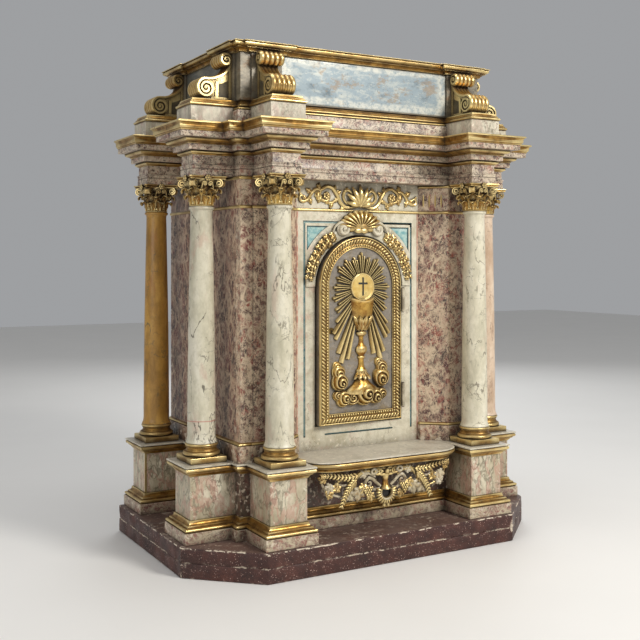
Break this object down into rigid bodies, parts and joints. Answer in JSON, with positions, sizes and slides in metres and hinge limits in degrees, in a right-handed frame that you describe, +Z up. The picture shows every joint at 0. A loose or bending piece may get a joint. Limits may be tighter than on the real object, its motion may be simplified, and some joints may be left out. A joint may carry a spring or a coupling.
{
  "type": "tabernacle box",
  "caption": "Small wooden temple front with columns, an arched niche behind a hinged and locked door, a shelf and a low attic.",
  "frame": {"origin": "centre of the overall box on the underside of the plinth", "axes": "+Z up, front with the door faces -Y, +X to the viewer's right"},
  "size_m": [0.836, 0.492, 1],
  "materials": {
    "porphyry_paint": "speckled dark red-brown paint, chipped edges",
    "breccia_paint": "mauve and pink breccia marbling, waxed",
    "cream_marbling": "cream marbling with thin grey veins, waxed",
    "rose_marbling": "pinkish cream marbling",
    "siena_marbling": "yellow ochre marbling with grey-green veins",
    "gilding": "worn water gilding over brown bole",
    "silvering": "rubbed silvering and grey paint",
    "bare_wood": "old unpainted softwood",
    "lining_paint": "dull red distemper",
    "iron": "forged, waxed",
    "steel": "aged",
    "brass": "dull"
  },
  "bodies": {
    "cabinet": {"plinth_lower_board": "porphyry_paint", "plinth_upper_board": "porphyry_paint", "pedestal_base_course": "breccia_paint", "dado_front_board": "breccia_paint", "dado_side_left": "breccia_paint", "dado_side_right": "breccia_paint", "dado_back_board": "bare_wood", "pedestals_front": "cream_marbling", "pedestals_side": "cream_marbling", "pedestal_cornice": "gilding", "mensa_shelf": "cream_marbling", "shelf_carving": "gilding", "column_bases_front": "gilding", "column_bases_side": "gilding", "column_bases_rear": "gilding", "column_shaft_front_left": "cream_marbling", "column_shaft_front_right": "cream_marbling", "column_shaft_side_left": "cream_marbling", "column_shaft_side_right": "rose_marbling", "column_shaft_rear_left": "siena_marbling", "column_shaft_rear_right": "siena_marbling", "column_capital_front_left": "gilding", "column_capital_front_right": "gilding", "column_capital_side_left": "gilding", "column_capital_side_right": "gilding", "column_capital_rear_left": "gilding", "column_capital_rear_right": "gilding", "front_wall_left": "breccia_paint", "front_wall_right": "breccia_paint", "side_wall_left": "breccia_paint", "side_wall_right": "breccia_paint", "facade_panel": "cream_marbling", "back_panel": "bare_wood", "niche_casing": "lining_paint", "strike_rail": "lining_paint", "niche_floor": "bare_wood", "niche_back": "lining_paint", "architrave_frieze": "breccia_paint", "cornice_bed": "breccia_paint", "cornice_corona": "breccia_paint", "attic_base": "breccia_paint", "attic_carcass": "silvering", "attic_crown": "gilding", "volutes_front": "gilding", "volutes_side": "gilding", "bay_ornament": "gilding", "arch_crest": "gilding", "frame_hinge_leaves": "iron", "frame_hinge_screws": "steel", "hinge_pins": "steel"},
    "door": {"door_panel": "silvering", "door_border": "gilding", "door_sunburst": "gilding", "door_chalice": "gilding", "door_clouds": "gilding", "door_hinge_leaves": "iron", "door_hinge_screws": "steel", "lock_case": "iron", "escutcheon": "brass"},
    "bolt": {"lock_bolt": "iron"}
  },
  "joints": [
    {"name": "door_swing", "type": "hinge", "parent": "cabinet", "child": "door", "pos_m": [0.10325, -0.0905, 0.4], "axis": [0, 0, 1], "range_deg": [-3, 105]},
    {"name": "bolt_slide", "type": "slide", "parent": "door", "child": "bolt", "axis": [-0.9986, -0.0523, 0], "range_m": [0, 0.01]}
  ]
}
